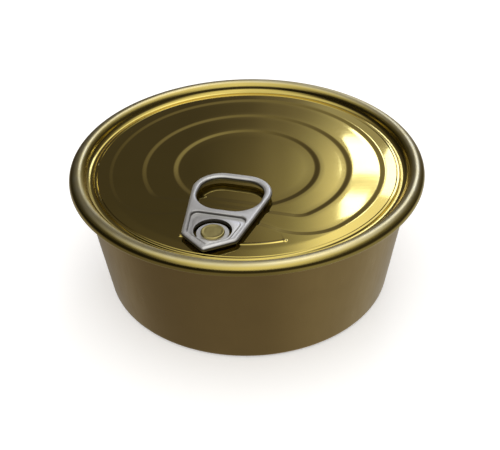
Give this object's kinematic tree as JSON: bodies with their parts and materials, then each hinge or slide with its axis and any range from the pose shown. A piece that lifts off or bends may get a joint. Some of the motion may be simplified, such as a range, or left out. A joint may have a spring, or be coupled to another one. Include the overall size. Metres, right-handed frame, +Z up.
{
  "type": "tin can with pull-tab lid",
  "caption": "Shallow round tin can, shut by a seamed easy-open lid with a riveted ring-pull tab, stepped panel, countersink and tapered drawn body.",
  "frame": {"origin": "centre of the base, on the surface that the can stands on", "axes": "+Z up along the can's axis, -Y from the axis towards the pull tab's nose"},
  "size_m": [0.0694, 0.0694, 0.0263],
  "materials": {
    "body_lacquer": "satin gold lacquer on drawn tinplate",
    "lid_lacquer": "gloss gold lacquer on tinplate",
    "tab_aluminium": "plain rolled, satin"
  },
  "bodies": {
    "root": {"can_body": "body_lacquer", "lid": "lid_lacquer", "pull_tab": "tab_aluminium"}
  },
  "joints": []
}
